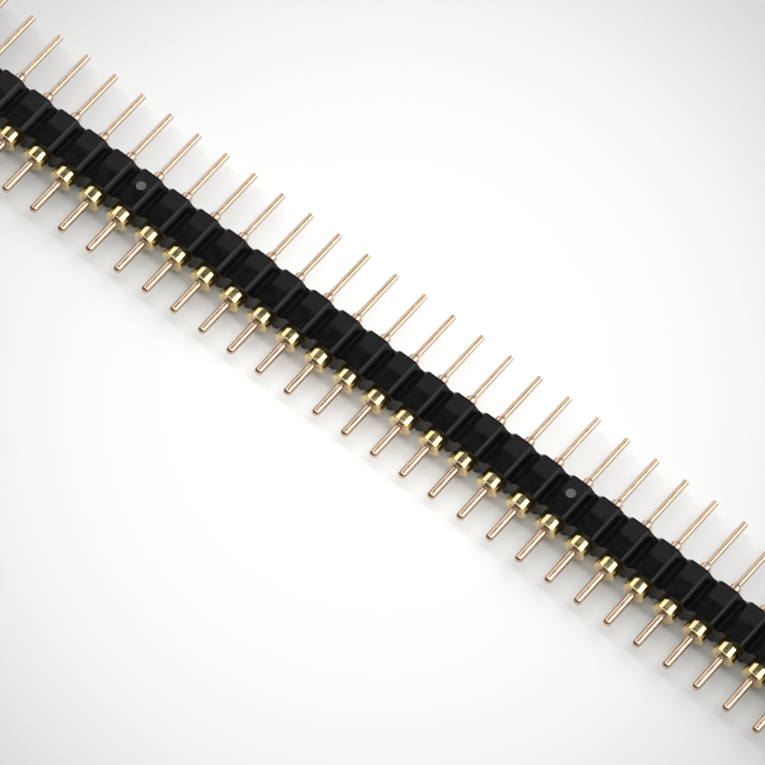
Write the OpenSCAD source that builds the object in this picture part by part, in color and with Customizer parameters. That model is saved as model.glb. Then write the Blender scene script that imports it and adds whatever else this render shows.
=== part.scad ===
// Turned-pin header strip, single row, pin to pin.
// Forty turned pins stand in one moulded insulator that snaps apart at the notches.
// The strip lies on the flat sides of its insulator.
// X runs along the row, Y along the pins towards their thin plug ends, Z is up.
// The origin is on the surface it lies on, midway along the row and midway along the pins.

/* [Row] */
// Number of pins in the row
pin_count = 40; // [26:1:50]
// Distance from one pin to the next
pitch = 2.54; // [2.45:0.01:2.8]

/* [Tail end of a pin] */
// Diameter of the tail
tail_d = 0.62; // [0.5:0.01:0.8]
// Length of the tail, from the collar to its tip
tail_l = 3.0; // [1.5:0.1:5]
// Radius that rounds the tail's tip
tail_tip_r = 0.24; // [0.1:0.01:0.25]
// Radius in the corner between the tail and the collar
tail_root_r = 0.06; // [0.02:0.01:0.12]
// Diameter of the collar that seats on the insulator
collar_d = 1.76; // [1.6:0.01:2.0]
// Length of the collar
collar_l = 1.0; // [0.6:0.05:2]
// Radius on the two rims of the collar
collar_rim_r = 0.05; // [0.02:0.01:0.12]

/* [Shank of a pin, inside the insulator] */
// Diameter of the shank
shank_d = 1.24; // [1.1:0.01:1.3]
// Depth of the shank in the insulator
shank_l = 2.2; // [1.9:0.05:2.3]
// Greatest diameter of the barb
barb_d = 1.4; // [1.32:0.01:1.5]
// Distance from the collar's seat to the barb's square back
barb_from = 0.7; // [0.3:0.05:0.9]
// Length of the barb's tapered side
barb_l = 0.8; // [0.4:0.05:0.9]
// Length of the cone that leads from the shank to the shoulder
lead_l = 0.18; // [0.08:0.01:0.25]

/* [Plug end of a pin] */
// Diameter of the shoulder that comes out of the insulator
shoulder_d = 0.8; // [0.7:0.01:1.05]
// How far the shoulder stands out of the insulator
shoulder_out = 0.65; // [0.3:0.05:1.2]
// Length of the cone from the shoulder to the plug
cone_l = 0.27; // [0.1:0.01:0.8]
// Diameter of the plug
plug_d = 0.47; // [0.4:0.01:0.6]
// Distance from the insulator to the tip of the plug
plug_l = 4.9; // [3:0.1:8]
// Radius on the rim of the plug's tip
plug_tip_r = 0.07; // [0.03:0.01:0.15]

/* [Insulator] */
// Length of the insulator along the pins
body_l = 3.05; // [2.7:0.05:4.5]
// Thickness between its two flat sides
body_t = 2.6; // [2.35:0.05:3]
// Width of the flat on each side of a position
flat_w = 1.4; // [1.2:0.02:1.6]
// Width of the bevel beside the flat
bevel_w = 0.14; // [0.04:0.01:0.16]
// Depth of the bevel beside the flat
bevel_h = 0.12; // [0.04:0.01:0.16]
// Depth of the notch between two positions
notch_h = 0.5; // [0.35:0.01:0.7]
// Width of the notch's floor, where the strip snaps apart
notch_floor_w = 0.2; // [0.1:0.01:0.24]
// Small bevel between each flat and the face at the collars
edge_break = 0.04; // [0.02:0.01:0.15]
// Length, along the pins, of the bevel all round the face at the plugs
rim_bevel_l = 0.2; // [0.05:0.01:0.3]
// Depth of that bevel
rim_bevel_h = 0.1; // [0.03:0.01:0.15]
// Clearance around a shank, on the radius
bore_gap = 0.01; // [0.01:0.005:0.05]

/* [Gate marks] */
// Pins counted in from each end of the row to the gate mark
gate_pin = 13; // [2:1:13]
// Diameter of a gate mark
gate_d = 0.76; // [0.4:0.02:1.0]
// Depth of a gate mark below the flat
gate_h = 0.04; // [0.02:0.01:0.1]
// Distance from the face at the collars to a gate mark's centre
gate_from = 1.8; // [1.2:0.1:1.8]

/* [Hidden] */
$fn = 64;
over = 0.2; // how far a cut runs past the face that it opens
pin_l = tail_l + collar_l + body_l + plug_l;
seat_y = tail_l + collar_l - pin_l / 2; // the face that the collars seat on
row_l = pin_count * pitch;
axis_z = body_t / 2;
tail_r = tail_d / 2;
collar_r = collar_d / 2;
shank_r = shank_d / 2;
barb_r = barb_d / 2;
shoulder_r = shoulder_d / 2;
plug_r = plug_d / 2;

PINS = [for (i = [1 : pin_count]) str("pin_", i < 10 ? "0" : "", i)];

// The middle of position i along the row, counted from 1
function position_x(i) = (i - (pin_count + 1) / 2) * pitch;

// A bar of radius r about the pin's axis, between two heights, as half a section
module bar(r, from, to) translate([0, from]) square([r, to - from]);

// The same bar with its far rim rounded to radius e
module round_bar(r, from, to, e) {
    bar(r, from, to - e);
    bar(r - e, from, to);
    translate([r - e, to - e]) intersection() {
        circle(e);
        square(e);
    }
}

// A hollow corner that widens a bar of radius r to r_end over length l, tangent to the bar
module hollow(r, r_end, from, l) {
    rise = r_end - r;
    arc_r = (rise * rise + l * l) / (2 * rise);
    translate([0, from]) difference() {
        square([r_end, l]);
        translate([r + arc_r, l]) circle(arc_r);
    }
}

// A cone from radius r to r_end over length l, as half a section
module cone(r, r_end, from, l) translate([0, from]) polygon([[0, 0], [r, 0], [r_end, l], [0, l]]);

// The stretch of the pin inside the insulator, grown by g all round, as half a section.
// The barb's back is square, so it holds against a pull on the tail.
module shank_section(g) {
    shank = shank_r + g;
    barb = barb_r + g;
    shoulder = shoulder_r + g;
    barb_to = barb_from + barb_l;
    polygon([
        [0, 0], [shank, 0], [shank, barb_from], [barb, barb_from], [shank, barb_to],
        [shank, shank_l - lead_l], [shoulder, shank_l], [shoulder, body_l], [0, body_l]
    ]);
}

// Half the section of one turned pin: 0 is the collar's seat, and the plug points up
module pin_section() {
    mirror([0, 1]) round_bar(tail_r, 0, collar_l + tail_l, tail_tip_r);
    mirror([0, 1]) hollow(tail_r, tail_r + tail_root_r, collar_l, tail_root_r);
    mirror([0, 1]) round_bar(collar_r, collar_rim_r, collar_l, collar_rim_r);
    translate([0, -2 * collar_rim_r]) round_bar(collar_r, 0, 2 * collar_rim_r, collar_rim_r);
    shank_section(0);
    bar(shoulder_r, body_l - over, body_l + shoulder_out);
    cone(shoulder_r, plug_r, body_l + shoulder_out, cone_l);
    round_bar(plug_r, body_l, body_l + plug_l, plug_tip_r);
}

// Stands a piece that was drawn about Z at position i, on the collars' seat and along +Y
module at_position(i) translate([position_x(i), seat_y, axis_z]) rotate([-90, 0, 0]) children();

module pin(i) color([0.85, 0.68, 0.42]) at_position(i) rotate_extrude() pin_section();

// A slab as long as the insulator, with its two broad faces across_t apart.
// They end in the rim bevel at the plugs, and in a bevel of size e at the collars, or sharply where e is 0.
// The slab is turned about the pin's axis by a.
module slab(across_t, a, l, e = 0) {
    h = across_t / 2;
    rim_y = body_l - rim_bevel_l;
    rim_z = h - rim_bevel_h;
    lower_corner = e > 0 ? [[0, e - h], [e, -h]] : [[0, -h]];
    upper_corner = e > 0 ? [[e, h], [0, h - e]] : [[0, h]];
    rim = [[rim_y, -h], [body_l, -rim_z], [body_l, rim_z], [rim_y, h]];
    section = concat(lower_corner, rim, upper_corner);
    rotate([0, a, 0]) rotate([90, 0, 90]) linear_extrude(l, center = true) polygon(section);
}

// Two such slabs that slope down to either side from the point [x, z] beside the pin's axis
module sloped_pair(x, z, a) intersection() {
    across_t = 2 * (x * sin(a) + z * cos(a));
    slab(across_t, a, 3 * pitch);
    slab(across_t, -a, 3 * pitch);
}

// One position of the insulator: a flat on each side, a bevel beside it, then the notch's walls
module position() intersection() {
    flat_x = flat_w / 2;
    wall_x = flat_x + bevel_w;
    wall_z = axis_z - bevel_h;
    foot_x = (pitch - notch_floor_w) / 2;
    foot_z = axis_z - notch_h;
    slab(body_t, 0, pitch, edge_break);
    sloped_pair(flat_x, axis_z, atan2(bevel_h, bevel_w));
    sloped_pair(wall_x, wall_z, atan2(wall_z - foot_z, foot_x - wall_x));
}

// The stepped hole that one shank fills, open at both faces of the insulator
module bore() rotate_extrude() {
    bar(shank_r + bore_gap, -over, over);
    shank_section(bore_gap);
    bar(shoulder_r + bore_gap, body_l - over, body_l + over);
}

// The shallow round mark that the moulding gate leaves in an upper flat
module gate_mark(i) translate([position_x(i), seat_y + gate_from, body_t - gate_h]) {
    cylinder(h = gate_h + over, r = gate_d / 2);
}

module insulator() color([0.09, 0.09, 0.1]) difference() {
    union() {
        translate([0, seat_y, axis_z]) slab(body_t - 2 * notch_h, 0, row_l);
        for (i = [1 : pin_count]) {
            translate([position_x(i), seat_y, axis_z]) position();
        }
    }
    for (i = [1 : pin_count]) at_position(i) bore();
    gate_mark(gate_pin);
    gate_mark(pin_count + 1 - gate_pin);
}

insulator();
for (i = [1 : pin_count]) {
    pin(i);
}
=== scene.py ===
# %% [markdown]
# # A turned-pin header strip
# Forty turned pins stand in one moulded bar of black plastic. The strip lies on the flat side of its bar, as
# it does on a bench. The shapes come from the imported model, in metres: X runs along the row, Y along the pins
# towards their thin plug ends, and Z is up. This lesson gives the strip a camera, a light tent, a floor to
# lie on and its finishes.

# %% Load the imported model
import math

import bpy
import numpy as np
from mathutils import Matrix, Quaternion, Vector


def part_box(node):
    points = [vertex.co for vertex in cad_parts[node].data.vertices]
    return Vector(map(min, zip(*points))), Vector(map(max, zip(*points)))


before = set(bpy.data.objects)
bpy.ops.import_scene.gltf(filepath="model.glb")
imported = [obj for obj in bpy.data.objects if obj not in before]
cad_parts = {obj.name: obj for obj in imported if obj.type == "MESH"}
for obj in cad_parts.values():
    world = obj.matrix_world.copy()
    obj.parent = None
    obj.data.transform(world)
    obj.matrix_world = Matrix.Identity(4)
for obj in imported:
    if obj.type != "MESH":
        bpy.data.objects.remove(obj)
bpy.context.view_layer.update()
MM = 0.001

# %% [markdown]
# ## Where things are
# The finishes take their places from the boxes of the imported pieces: how far apart the pins are, how high
# their axis lies, how wide the collars are, and where the bar begins and ends along the pins.

# %% Read the places from the pieces
pin_names = sorted(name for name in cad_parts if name.startswith("pin_"))
first_low, first_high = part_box(pin_names[0])
second_low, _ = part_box(pin_names[1])
body_low, body_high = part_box("insulator")
PITCH = second_low.x - first_low.x
AXIS_Z = (first_low.z + first_high.z) / 2
COLLAR_R = (first_high.z - first_low.z) / 2
BODY_MID_Y = (body_low.y + body_high.y) / 2
print(len(pin_names), "pins,", round(PITCH / MM, 3), "mm apart, axis", round(AXIS_Z / MM, 3), "mm up")

# %% [markdown]
# ## The camera
# A strip this small is seen through a long lens from half a metre, so it shows almost no perspective. The
# camera is set by the point it looks at, its distance, the two angles of its line of sight and a slight roll.

# %% Place the camera
LOOK_AT = Vector((3.303, -1.096, 1.30)) * MM
AZIMUTH, ELEVATION, ROLL = math.radians(42.05), math.radians(61.03), math.radians(-2.64)
DISTANCE = 532.44 * MM
LENS_MM = 368.40


def line_of_sight(azimuth, elevation):
    """Unit vector towards the camera: azimuth turns it round Z from the -Y side, elevation lifts it."""
    level = math.cos(elevation)
    return Vector((math.sin(azimuth) * level, -math.cos(azimuth) * level, math.sin(elevation)))


to_camera = line_of_sight(AZIMUTH, ELEVATION)
camera = bpy.data.objects.new("camera", bpy.data.cameras.new("camera"))
camera.data.lens = LENS_MM
camera.location = LOOK_AT + to_camera * DISTANCE
camera.rotation_euler = ((-to_camera).to_track_quat("-Z", "Y") @ Quaternion((0, 0, 1), ROLL)).to_euler()
scene = bpy.context.scene
scene.collection.objects.link(camera)
scene.camera = camera
scene.view_settings.view_transform = "Standard"
print("camera at", [round(c / MM, 1) for c in camera.location], "mm")

# %% [markdown]
# ## Helpers for node trees
# A material or a world is a network of small nodes. It could be clicked together by hand, but in code a few
# helpers keep it readable: one adds a node and fills its inputs, the others are short names for sums, ramps
# and mixes.


# %% Node helpers
def add_node(tree, kind, values=None, **settings):
    """Adds a node, applies its settings, and writes plain values or links into its inputs."""
    node = tree.nodes.new(kind)
    for name, value in settings.items():
        setattr(node, name, value)
    for key, value in (values or {}).items():
        if isinstance(value, bpy.types.NodeSocket):
            tree.links.new(value, node.inputs[key])
        else:
            node.inputs[key].default_value = value
    return node


def calc(tree, operation, *values, clamp=False):
    """One Math node; returns its output."""
    settings = {"operation": operation, "use_clamp": clamp}
    return add_node(tree, "ShaderNodeMath", dict(enumerate(values)), **settings).outputs[0]


def ramp(tree, value, low, high, to_low=0.0, to_high=1.0):
    """Takes a value from one span to another in a smooth step, flat outside the span."""
    values = {0: value, 1: low, 2: high, 3: to_low, 4: to_high}
    return add_node(tree, "ShaderNodeMapRange", values, interpolation_type="SMOOTHSTEP").outputs[0]


def band(tree, value, low, high, soft):
    """1 between low and high and 0 outside, with edges that take twice soft."""
    return calc(tree, "MULTIPLY", ramp(tree, value, low - soft, low + soft),
                ramp(tree, value, high - soft, high + soft, 1.0, 0.0))


def mix(tree, share, first, second):
    """Mixes two numbers by a share from 0 to 1."""
    return add_node(tree, "ShaderNodeMix", {0: share, 2: first, 3: second}, data_type="FLOAT").outputs[0]


def mix_colour(tree, share, first, second, blend="MIX"):
    """Mixes two colours by a share from 0 to 1, or by a blend such as MULTIPLY."""
    values = {0: share, 6: first, 7: second}
    return add_node(tree, "ShaderNodeMix", values, data_type="RGBA", blend_type=blend).outputs[2]


# %% [markdown]
# ## The light
# Polished metal shows the room that it stands in, so the room matters more than any lamp. A light tent is a
# white cloth box: bright panels at the left, at the right and behind, and a dimmer front. Lamps with
# softboxes could stand for the panels, but one world shader, worked out from the direction of each ray, gives
# the same soft light without noise. The right panel is the brighter one. Near the horizon the light falls
# off, because the cloth there hangs in the shade of the table.
#
# A broad lamp lies in the roof, and between it and the panel behind runs a dark gap. The gap draws the dark
# line along each pin and darkens the near half of each flat. The lamp lies just in front of the gap, where
# the straight sides of the pins don't mirror it to the camera, and it lights the floor.
#
# All directions are unit vectors. A pair of numbers is the span over which one level turns into the next. For
# the lamp and the gap, x and y are divided by z, which lays the roof out flat like a map.

# %% The levels of the light tent
LEFT_LEVEL, RIGHT_LEVEL, SIDE_SPAN = 1.20, 2.40, (-0.30, 0.30)
FRONT_LEVEL, MIDDLE_LEVEL, BACK_LEVEL = 0.12, 1.10, 2.10
FRONT_SPAN, BACK_SPAN = (-0.15, 0.30), (0.50, 0.65)
HORIZON_FRONT, HORIZON_BACK, HORIZON_SPAN = 0.34, 0.12, (0.45, 0.90)
BACK_SHADE, BACK_SHADE_SPAN = 0.30, (0.45, 0.80)
HEIGHT_SPAN = (0.12, 0.60)
LAMP_LEVEL, LAMP_SIDE, LAMP_FRONT = 5.6, 0.75, 0.0
LAMP_SOFT_X, LAMP_SOFT_Y = 0.15, 0.05
GAP_LEVEL, GAP_LEFT, GAP_RIGHT, GAP_FRONT, GAP_BACK = 0.05, -0.57, 0.54, 0.24, 0.49
GAP_SOFT_X, GAP_SOFT_Y = 0.085, 0.045
LEAST_HEIGHT = 0.02
WHITE = (1, 1, 1, 1)
FRONT_CLOTH, CLOTH_SPAN = (0.98, 1.01, 0.95, 1), (-0.20, 0.25)
SEEN_LEVEL = 0.85
print("panels at", LEFT_LEVEL, "to", RIGHT_LEVEL, "roof lamp at", LAMP_LEVEL, "gap at", GAP_LEVEL)

# %% [markdown]
# The level of the panels is a product of three: one for left and right, one for front and back, and one for
# height. The shade behind the table reaches higher than at the front. The camera itself would see a plain
# pale grey beyond the floor, so a view past the floor's edge stays calm.

# %% Build the tent
world = bpy.data.worlds.new("light_tent")
scene.world = world
world.use_nodes = True
tree = world.node_tree
tree.nodes.clear()
direction = add_node(tree, "ShaderNodeTexCoord").outputs["Generated"]
x, y, z = add_node(tree, "ShaderNodeSeparateXYZ", {0: direction}).outputs
side_level = ramp(tree, x, *SIDE_SPAN, LEFT_LEVEL, RIGHT_LEVEL)
depth_level = calc(tree, "ADD", ramp(tree, y, *FRONT_SPAN, FRONT_LEVEL, MIDDLE_LEVEL),
                   ramp(tree, y, *BACK_SPAN, 0.0, BACK_LEVEL - MIDDLE_LEVEL))
horizon = ramp(tree, y, *HORIZON_SPAN, HORIZON_FRONT, HORIZON_BACK)
over_shade = calc(tree, "SUBTRACT", z, ramp(tree, y, *BACK_SHADE_SPAN, 0.0, BACK_SHADE))
height_level = mix(tree, ramp(tree, over_shade, *HEIGHT_SPAN), horizon, 1.0)
panels = calc(tree, "MULTIPLY", calc(tree, "MULTIPLY", side_level, depth_level), height_level)
height = calc(tree, "MAXIMUM", z, LEAST_HEIGHT)
roof_x, roof_y = calc(tree, "DIVIDE", x, height), calc(tree, "DIVIDE", y, height)
on_lamp = calc(tree, "MULTIPLY", band(tree, roof_x, -LAMP_SIDE, LAMP_SIDE, LAMP_SOFT_X),
               band(tree, roof_y, LAMP_FRONT, GAP_FRONT, LAMP_SOFT_Y))
in_gap = calc(tree, "MULTIPLY", band(tree, roof_x, GAP_LEFT, GAP_RIGHT, GAP_SOFT_X),
              band(tree, roof_y, GAP_FRONT, GAP_BACK, GAP_SOFT_Y))
tent = mix(tree, in_gap, mix(tree, on_lamp, panels, LAMP_LEVEL), GAP_LEVEL)
seen = add_node(tree, "ShaderNodeLightPath").outputs["Is Camera Ray"]
cloth = mix_colour(tree, ramp(tree, y, *CLOTH_SPAN), FRONT_CLOTH, WHITE)
background = add_node(tree, "ShaderNodeBackground", {
    "Color": mix_colour(tree, seen, cloth, WHITE), "Strength": mix(tree, seen, tent, SEEN_LEVEL)})
add_node(tree, "ShaderNodeOutputWorld", {0: background.outputs[0]})
print("tent with", len(tree.nodes), "nodes")

# %% [markdown]
# ## The floor
# The strip lies on a sheet of white card. The card is flat, so one square of four corners is all its mesh. It
# is large, so that its edges stay far away in every view.

# %% Lay the card
FLOOR_HALF = 600 * MM

corners = np.array([(-1, -1, 0), (1, -1, 0), (1, 1, 0), (-1, 1, 0)], float) * FLOOR_HALF
floor_mesh = bpy.data.meshes.new("white_card")
floor_mesh.from_pydata(corners.tolist(), [], [(0, 1, 2, 3)])
floor = bpy.data.objects.new("white_card", floor_mesh)
scene.collection.objects.link(floor)
print("card", round(2 * FLOOR_HALF / MM), "mm square")

# %% [markdown]
# Every finish starts from an empty material, and most of them need to know which point of the surface is
# being shaded. Object coordinates tell it in metres, on the card and on the strip alike.

# %% Helpers for materials
def new_material(name):
    """An empty node material, and its tree."""
    material = bpy.data.materials.new(name)
    material.use_nodes = True
    material.node_tree.nodes.clear()
    return material, material.node_tree


def surface_point(tree):
    """The point on the surface, in metres, and its three coordinates."""
    point = add_node(tree, "ShaderNodeTexCoord").outputs["Object"]
    return point, add_node(tree, "ShaderNodeSeparateXYZ", {0: point}).outputs


# %% [markdown]
# The card's colour is painted darker away from the strip. This painted shade lies in rings that are round to
# the camera, and so are ellipses on the card. The table pairs each ring's radius in millimetres with its level.
# A little glow, seen by camera and mirror rays only, lifts the card towards white and takes the same painted
# shade as its colour. It doesn't light the strip.

# %% Shade the card
FLOOR_COLOUR = (0.95, 0.95, 0.95, 1)
FLOOR_GLOW = 0.07
PAINTED_FALL_OFF_CENTRE = Vector((2.937, -0.587, 0)) * MM
PAINTED_FALL_OFF = ((0, 1.0), (10.0, 1.0), (15.5, 0.845), (17.4, 0.84), (19.3, 0.832), (21.2, 0.819), (23.1, 0.805),
            (25.0, 0.787), (26.9, 0.762), (28.8, 0.737), (30.7, 0.709), (32.7, 0.675), (34.6, 0.636),
            (36.8, 0.606), (40.0, 0.566))
PAINTED_FALL_OFF_REACH = PAINTED_FALL_OFF[-1][0] * MM

card, tree = new_material("white_card")
point, _ = surface_point(tree)
in_rings = add_node(tree, "ShaderNodeMapping", {
    "Vector": point, "Location": PAINTED_FALL_OFF_CENTRE, "Rotation": (0, 0, AZIMUTH),
    "Scale": (1, 1 / math.sin(ELEVATION), 1)}, vector_type="TEXTURE").outputs[0]
ring_radius = add_node(tree, "ShaderNodeVectorMath", {0: in_rings}, operation="LENGTH").outputs["Value"]
# Painted shade: the card's colour is darkened here in rings away from the strip, and the glow below uses it
# too.
shade = add_node(tree, "ShaderNodeValToRGB", {0: calc(tree, "DIVIDE", ring_radius, PAINTED_FALL_OFF_REACH)})
stops = shade.color_ramp.elements
for _ in PAINTED_FALL_OFF[2:]:
    stops.new(0.5)
for stop, (radius, level) in zip(stops, PAINTED_FALL_OFF):
    stop.position = radius * MM / PAINTED_FALL_OFF_REACH
    stop.color = (level, level, level, 1)
rays = add_node(tree, "ShaderNodeLightPath").outputs
mirror_rays = calc(tree, "ADD", rays["Is Glossy Ray"], rays["Is Transmission Ray"])
seen = calc(tree, "ADD", rays["Is Camera Ray"], mirror_rays, clamp=True)
diffuse = add_node(tree, "ShaderNodeBsdfDiffuse", {
    "Color": mix_colour(tree, 1.0, shade.outputs[0], FLOOR_COLOUR, "MULTIPLY")})
glow = add_node(tree, "ShaderNodeEmission", {
    "Color": shade.outputs[0], "Strength": calc(tree, "MULTIPLY", seen, FLOOR_GLOW)})
both = add_node(tree, "ShaderNodeAddShader", {0: diffuse.outputs[0], 1: glow.outputs[0]})
add_node(tree, "ShaderNodeOutputMaterial", {0: both.outputs[0]})
floor_mesh.materials.append(card)
print("card's shade in", len(stops), "rings")

# %% [markdown]
# ## Fine marks, shared by both finishes
# Neither plastic from a mould nor metal from a lathe is perfectly even. Both have a grain too fine to see as
# such, soft cloudy patches, and a few specks of dust or tiny pits. One node group makes all three, and each
# finish places it with its own sizes. The sizes are in metres, so the marks keep their real scale.


# %% The group of fine marks
def new_group(name, inputs, outputs):
    """A node group with named sockets: inputs gives each name its kind, outputs are all numbers."""
    group = bpy.data.node_groups.new(name, "ShaderNodeTree")
    for socket, kind in inputs.items():
        group.interface.new_socket(socket, in_out="INPUT", socket_type=kind)
    for socket in outputs:
        group.interface.new_socket(socket, in_out="OUTPUT", socket_type="NodeSocketFloat")
    return group, add_node(group, "NodeGroupInput").outputs, add_node(group, "NodeGroupOutput").inputs


NUMBER, VECTOR = "NodeSocketFloat", "NodeSocketVector"
MARK_INPUTS = {"Point": VECTOR, "Grain Size": NUMBER, "Patch Size": NUMBER,
               "Speck Spacing": NUMBER, "Speck Radius": NUMBER}
PATCH_SPAN = (0.35, 0.65)
SPECK_SPAN = (0.0, 0.02)

fine_marks, given, result = new_group("fine_marks", MARK_INPUTS, ["Grain", "Patches", "Specks"])


def group_noise(size, detail):
    """Noise of a given size at the group's point, from 0 to 1."""
    values = {"Vector": given["Point"], "Scale": calc(fine_marks, "DIVIDE", 1.0, size), "Detail": detail}
    return add_node(fine_marks, "ShaderNodeTexNoise", values).outputs[0]


grain = calc(fine_marks, "MULTIPLY_ADD", group_noise(given["Grain Size"], 2.0), 2.0, -1.0)
patches = ramp(fine_marks, group_noise(given["Patch Size"], 1.0), *PATCH_SPAN)
cells = add_node(fine_marks, "ShaderNodeTexVoronoi", {
    "Vector": given["Point"], "Scale": calc(fine_marks, "DIVIDE", 1.0, given["Speck Spacing"])}).outputs
lot = add_node(fine_marks, "ShaderNodeSeparateColor", {0: cells["Color"]}).outputs[0]
speck_radius = calc(fine_marks, "MULTIPLY", given["Speck Radius"], lot)
speck_radius = calc(fine_marks, "DIVIDE", speck_radius, given["Speck Spacing"])
inside = calc(fine_marks, "SUBTRACT", speck_radius, cells["Distance"])
specks = ramp(fine_marks, inside, *SPECK_SPAN)
for value, socket in zip((grain, patches, specks), result):
    fine_marks.links.new(value, socket)
print("fine_marks gives", [socket.name for socket in result if socket.name])


def place_marks(tree, point, grain, patch, spacing, radius):
    """Places the group of fine marks in a material, with its sizes in millimetres."""
    sizes = {"Grain Size": grain, "Patch Size": patch, "Speck Spacing": spacing, "Speck Radius": radius}
    node = add_node(tree, "ShaderNodeGroup", node_tree=fine_marks)
    tree.links.new(point, node.inputs["Point"])
    for name, size in sizes.items():
        node.inputs[name].default_value = size * MM
    return node.outputs


# %% [markdown]
# ## The moulded bar
# The bar is a glassy black thermoplastic, almost without colour of its own: what the eye sees is the room in
# it. The far half of each flat falls by two degrees towards the plugs, the draft that lets it leave its
# mould, so it mirrors the bright back of the tent. The near half hardly leans and mirrors the dark gap in the
# roof. As a shape this draft would be some 0.05 mm high, so it leans the shading normal and leaves the mesh
# alone. Two round gate marks, where the plastic was broken off its runner, are rough and pale.

# %% Sizes and tones of the plastic
PLASTIC_COLOUR = (0.0030, 0.0030, 0.0034, 1)
PLASTIC_SPECK_COLOUR = (0.05, 0.05, 0.05, 1)
PLASTIC_SPECULAR = 0.235
PLASTIC_ROUGHNESS, PLASTIC_PATCH_ROUGHNESS, PLASTIC_GRAIN_ROUGHNESS = 0.13, 0.04, 0.03
PLASTIC_GRAIN_HEIGHT, PLASTIC_PATCH_HEIGHT = 0.00035 * MM, 0.0012 * MM
DRAFT_SLOPE = 0.036
DRAFT_FAR, DRAFT_NEAR = 1.0, -0.2
DRAFT_BLEND = 0.12 * MM
FLATS_FROM, FLATS_TO = body_high.z - 0.11 * MM, body_high.z - 0.02 * MM
GATE_COLOUR = (0.11, 0.11, 0.105, 1)
GATE_ROUGHNESS = 0.8
GATE_GRAIN_HEIGHT = 0.012 * MM
GATE_PIN = 13
GATE_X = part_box(pin_names[-GATE_PIN])[0].x + COLLAR_R
GATE_Y = body_low.y + 1.8 * MM
GATE_R = 0.38 * MM
GATE_INNER_SHARE = 0.85
GATE_RAGGED = 0.05 * MM
GATE_FROM, GATE_TO = body_high.z - 0.10 * MM, body_high.z - 0.06 * MM
print("gate marks at x", round(GATE_X / MM, 2), "mm on either side")

# %% [markdown]
# The draft is a step from the near half to the far half, rounded where they meet, and it fades out below the
# flats, so the notches and the bevels keep their own normals. A gate mark is a disc with a ragged edge.

# %% Black plastic
moulded_black, tree = new_material("moulded_black")
point, (x, y, z) = surface_point(tree)
marks = place_marks(tree, point, grain=0.05, patch=0.6, spacing=0.45, radius=0.035)
from_middle = calc(tree, "DIVIDE", calc(tree, "SUBTRACT", y, BODY_MID_Y), DRAFT_BLEND)
rounded = calc(tree, "SQRT", calc(tree, "MULTIPLY_ADD", from_middle, from_middle, 1.0))
on_flats = ramp(tree, z, FLATS_FROM, FLATS_TO, 0.0, DRAFT_SLOPE)
to_far_half = calc(tree, "MULTIPLY_ADD", calc(tree, "DIVIDE", from_middle, rounded),
                   (DRAFT_FAR - DRAFT_NEAR) / 2, (DRAFT_FAR + DRAFT_NEAR) / 2)
lean = calc(tree, "MULTIPLY", to_far_half, on_flats)
gate_dx = calc(tree, "SUBTRACT", calc(tree, "ABSOLUTE", x), GATE_X)
gate_dy = calc(tree, "SUBTRACT", y, GATE_Y)
gate_squares = calc(tree, "MULTIPLY_ADD", gate_dx, gate_dx, calc(tree, "MULTIPLY", gate_dy, gate_dy))
gate_distance = calc(tree, "SQRT", gate_squares)
gate_edge = calc(tree, "MULTIPLY_ADD", marks["Grain"], GATE_RAGGED, gate_distance)
gate = calc(tree, "MULTIPLY", ramp(tree, gate_edge, GATE_INNER_SHARE * GATE_R, GATE_R, 1.0, 0.0),
            ramp(tree, z, GATE_FROM, GATE_TO))
colour = mix_colour(tree, marks["Specks"], PLASTIC_COLOUR, PLASTIC_SPECK_COLOUR)
colour = mix_colour(tree, gate, colour, GATE_COLOUR)
gloss = calc(tree, "MULTIPLY_ADD", marks["Patches"], PLASTIC_PATCH_ROUGHNESS, PLASTIC_ROUGHNESS)
gloss = calc(tree, "MULTIPLY_ADD", marks["Grain"], PLASTIC_GRAIN_ROUGHNESS, gloss)
roughness = mix(tree, gate, gloss, GATE_ROUGHNESS)
grain_height = mix(tree, gate, PLASTIC_GRAIN_HEIGHT, GATE_GRAIN_HEIGHT)
grain_height = calc(tree, "MULTIPLY", marks["Grain"], grain_height)
patch_height = calc(tree, "MULTIPLY", marks["Patches"], PLASTIC_PATCH_HEIGHT)
height = calc(tree, "ADD", grain_height, patch_height)
bump = add_node(tree, "ShaderNodeBump", {"Strength": 1.0, "Distance": 1.0, "Height": height})
leaning = add_node(tree, "ShaderNodeCombineXYZ", {1: lean}).outputs[0]
tilted = add_node(tree, "ShaderNodeVectorMath", {0: bump.outputs[0], 1: leaning}, operation="ADD").outputs[0]
normal = add_node(tree, "ShaderNodeVectorMath", {0: tilted}, operation="NORMALIZE").outputs[0]
shader = add_node(tree, "ShaderNodeBsdfPrincipled", {
    "Base Color": colour, "Roughness": roughness, "Specular IOR Level": PLASTIC_SPECULAR, "Normal": normal})
add_node(tree, "ShaderNodeOutputMaterial", {0: shader.outputs[0]})
print("moulded_black has", len(tree.nodes), "nodes")

# %% [markdown]
# ## The turned pins
# The pins are brass, turned on a lathe and plated. The collars keep the brighter, yellower plating; the thin
# tails and plugs, which solder and slide, have a duller and pinker one. A lathe leaves rings round the axis,
# so their pattern depends on the place along the pin alone. For that the sideways coordinate is wrapped at
# the pitch, and the distance from the nearest pin's axis tells a collar from a thin end.

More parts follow.
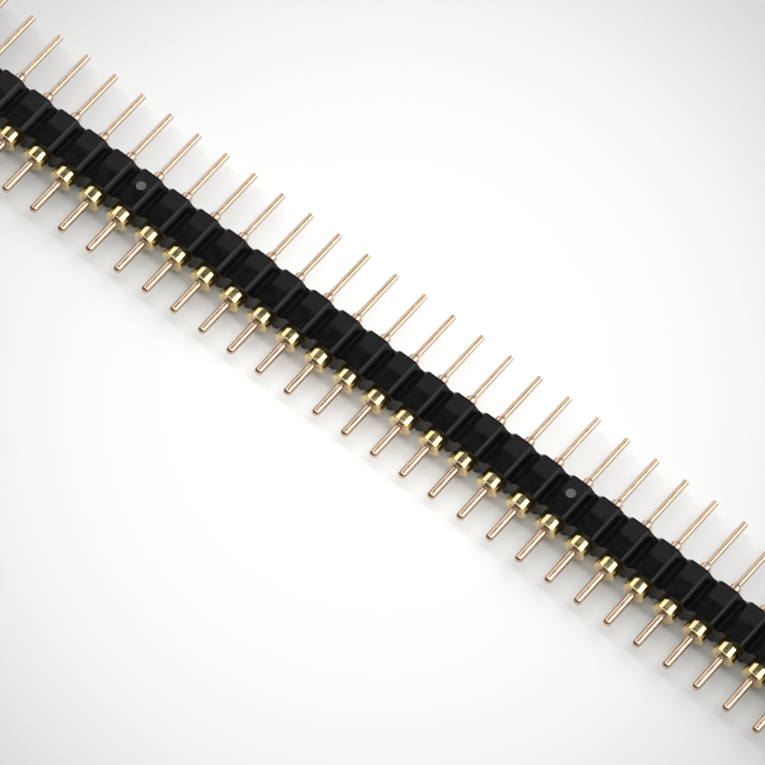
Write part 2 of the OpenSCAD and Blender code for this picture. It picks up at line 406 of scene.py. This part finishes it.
# %% Tones of the plating
COLLAR_TINT = (0.93, 0.745, 0.39, 1)
THIN_TINT = (0.70, 0.52, 0.40, 1)
PIT_TINT = (0.30, 0.22, 0.14, 1)
TONE_LEAST, TONE_SPREAD = 0.92, 0.08
COLLAR_ROUGHNESS, THIN_ROUGHNESS = 0.11, 0.18
COLLAR_SPAN = (0.55 * COLLAR_R, 0.65 * COLLAR_R)
RINGS_PER_MM, RING_DETAIL, RING_SHIFT = 16.0, 2.0, 7.3
RING_ROUGHNESS, GOLD_PATCH_ROUGHNESS = 0.12, 0.04
RING_HEIGHT, GOLD_GRAIN_HEIGHT, GOLD_PATCH_HEIGHT = 0.0004 * MM, 0.0002 * MM, 0.0008 * MM
print("collar tint", COLLAR_TINT[:3], "thin ends", THIN_TINT[:3])

# %% [markdown]
# Each pin takes its own lot, a number that depends on its place in the row alone: it shifts the rings and
# makes the pin a little lighter or darker. The bump's heights are in metres, far below what the eye can see
# as a shape.

# %% Plated brass
turned_gold, tree = new_material("turned_gold")
point, (x, y, z) = surface_point(tree)
marks = place_marks(tree, point, grain=0.03, patch=0.5, spacing=0.5, radius=0.03)
across = calc(tree, "SUBTRACT", calc(tree, "WRAP", x, PITCH, 0.0), PITCH / 2)
above = calc(tree, "SUBTRACT", z, AXIS_Z)
radius = calc(tree, "SQRT", calc(tree, "MULTIPLY_ADD", across, across, calc(tree, "MULTIPLY", above, above)))
on_collar = ramp(tree, radius, *COLLAR_SPAN)
pin_number = calc(tree, "FLOOR", calc(tree, "DIVIDE", x, PITCH))
pin_lot = add_node(tree, "ShaderNodeTexWhiteNoise", {"W": pin_number}, noise_dimensions="1D").outputs["Value"]
ring_place = calc(tree, "MULTIPLY_ADD", pin_number, RING_SHIFT, calc(tree, "DIVIDE", y, MM))
rings = add_node(tree, "ShaderNodeTexNoise", {
    "W": ring_place, "Scale": RINGS_PER_MM, "Detail": RING_DETAIL}, noise_dimensions="1D").outputs[0]
tint = mix_colour(tree, on_collar, THIN_TINT, COLLAR_TINT)
tone = calc(tree, "MULTIPLY_ADD", pin_lot, TONE_SPREAD, TONE_LEAST)
grey = add_node(tree, "ShaderNodeCombineColor", {0: tone, 1: tone, 2: tone}).outputs[0]
tint = mix_colour(tree, 1.0, tint, grey, "MULTIPLY")
tint = mix_colour(tree, marks["Specks"], tint, PIT_TINT)
roughness = mix(tree, on_collar, THIN_ROUGHNESS, COLLAR_ROUGHNESS)
roughness = calc(tree, "MULTIPLY_ADD", calc(tree, "SUBTRACT", rings, 0.5), RING_ROUGHNESS, roughness)
roughness = calc(tree, "MULTIPLY_ADD", marks["Patches"], GOLD_PATCH_ROUGHNESS, roughness)
height = calc(tree, "MULTIPLY", rings, RING_HEIGHT)
height = calc(tree, "MULTIPLY_ADD", marks["Grain"], GOLD_GRAIN_HEIGHT, height)
height = calc(tree, "MULTIPLY_ADD", marks["Patches"], GOLD_PATCH_HEIGHT, height)
bump = add_node(tree, "ShaderNodeBump", {"Strength": 1.0, "Distance": 1.0, "Height": height})
shader = add_node(tree, "ShaderNodeBsdfPrincipled", {
    "Base Color": tint, "Metallic": 1.0, "Roughness": roughness, "Normal": bump.outputs[0]})
add_node(tree, "ShaderNodeOutputMaterial", {0: shader.outputs[0]})
print("turned_gold has", len(tree.nodes), "nodes")

# %% [markdown]
# ## Dress the pieces
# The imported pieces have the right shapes, so they stay as they are and only take a finish.

# %% Give every piece its finish
for name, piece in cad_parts.items():
    piece.data.materials.clear()
    piece.data.materials.append(moulded_black if name == "insulator" else turned_gold)
print("dressed", len(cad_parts), "pieces")
